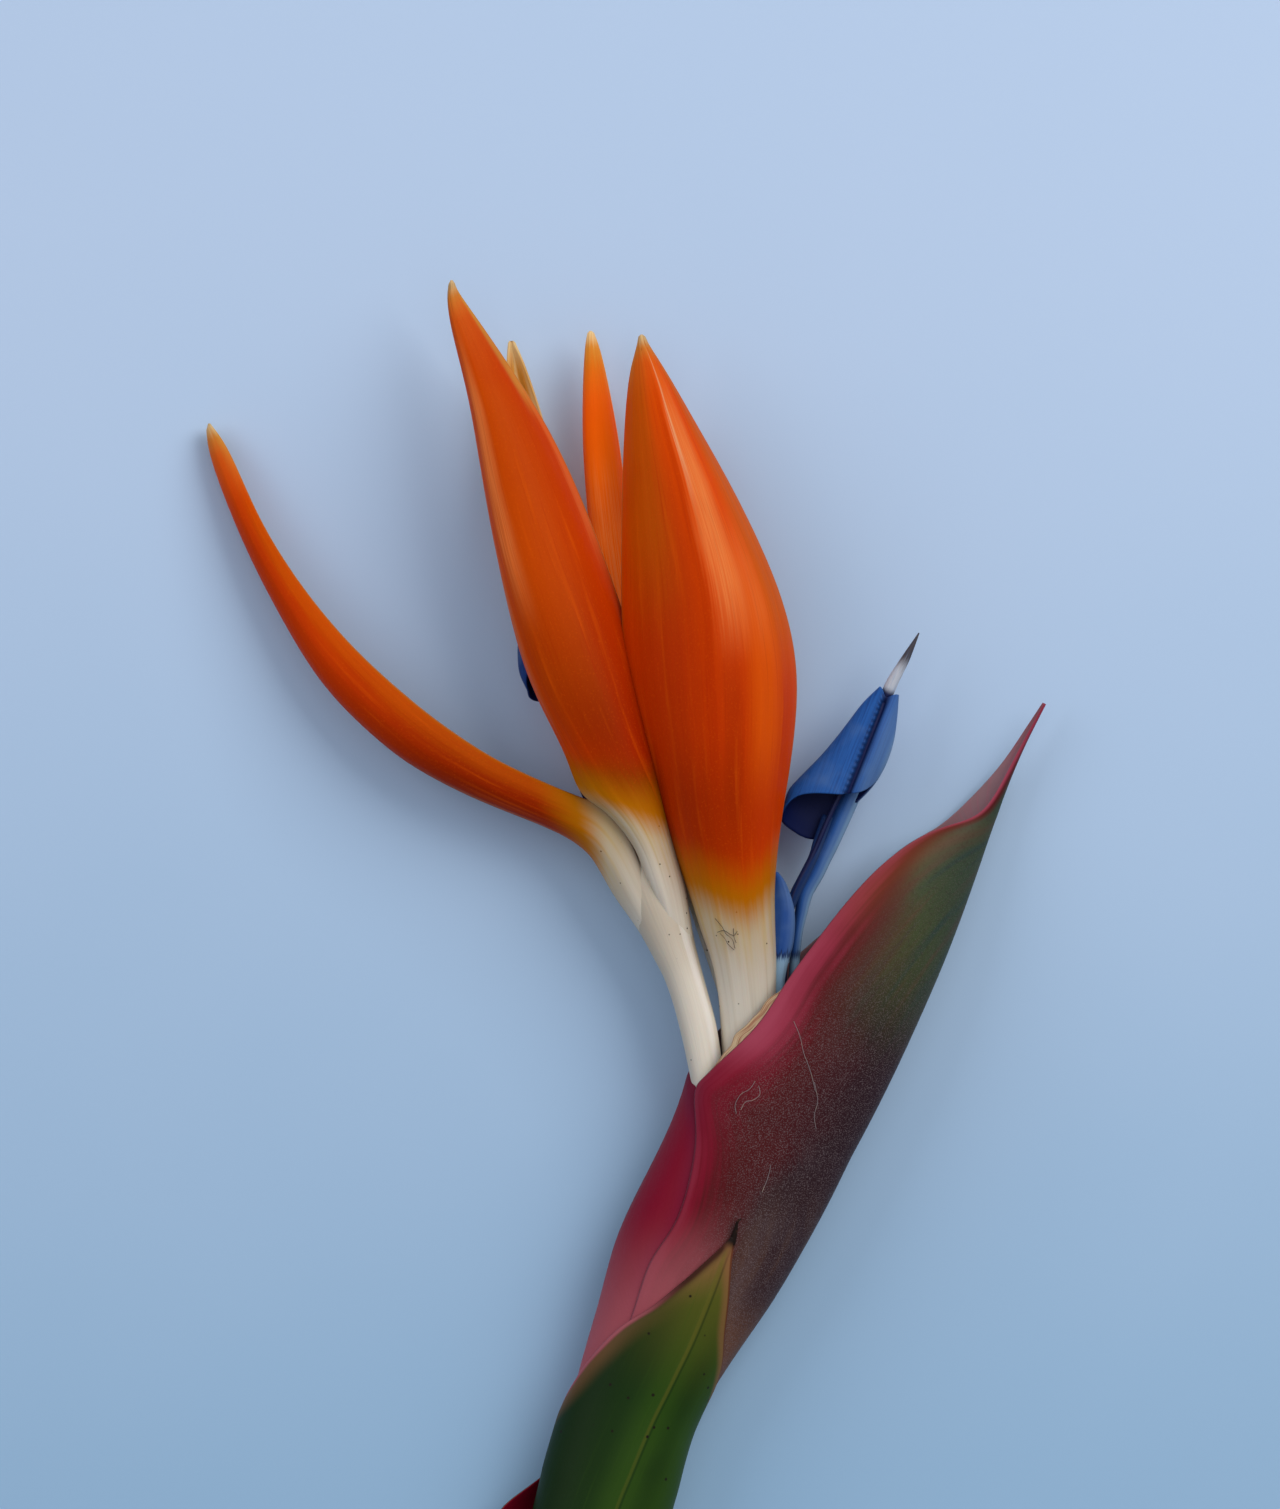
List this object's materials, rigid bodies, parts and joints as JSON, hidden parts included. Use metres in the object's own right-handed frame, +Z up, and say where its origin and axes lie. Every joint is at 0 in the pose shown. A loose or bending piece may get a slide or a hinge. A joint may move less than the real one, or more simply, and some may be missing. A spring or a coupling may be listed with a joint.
{
  "type": "bird of paradise flower",
  "caption": "Cut bird of paradise flower head lying on its side, with orange sepals, blue arrow petals and white tubes coming out of a crimson and green boat-shaped spathe.",
  "frame": {"origin": "centre of the bounding box at the surface the flower lies on", "axes": "+Y up the flower from the cut stem, +X towards the point of the spathe, +Z up from the surface"},
  "size_m": [0.1522, 0.2931, 0.029],
  "materials": {
    "stem_green": "satin",
    "sheath_crimson": "satin",
    "spathe": "satin",
    "papery_bract": "matt",
    "tube_cream": "satin",
    "sepal_orange": "satin",
    "petal_blue": "satin",
    "stigma_white": "matt",
    "bud": "satin"
  },
  "bodies": {
    "root": {"stem": "stem_green", "lower_sheath": "sheath_crimson", "upper_sheath": "stem_green", "spathe": "spathe", "papery_bract": "papery_bract", "flower_1_tube": "tube_cream", "flower_1_sepal_left": "sepal_orange", "flower_1_sepal_front": "sepal_orange", "flower_1_sepal_back": "sepal_orange", "flower_1_arrow": "petal_blue", "flower_1_nectary_petal": "petal_blue", "flower_1_style": "stigma_white", "flower_2_tube": "tube_cream", "flower_2_sepal_front": "sepal_orange", "flower_2_sepal_side": "sepal_orange", "flower_2_sepal_back": "sepal_orange", "flower_2_arrow": "petal_blue", "flower_2_nectary_petal": "petal_blue", "flower_2_style": "stigma_white", "bud_1": "bud", "bud_2": "bud"}
  },
  "joints": []
}
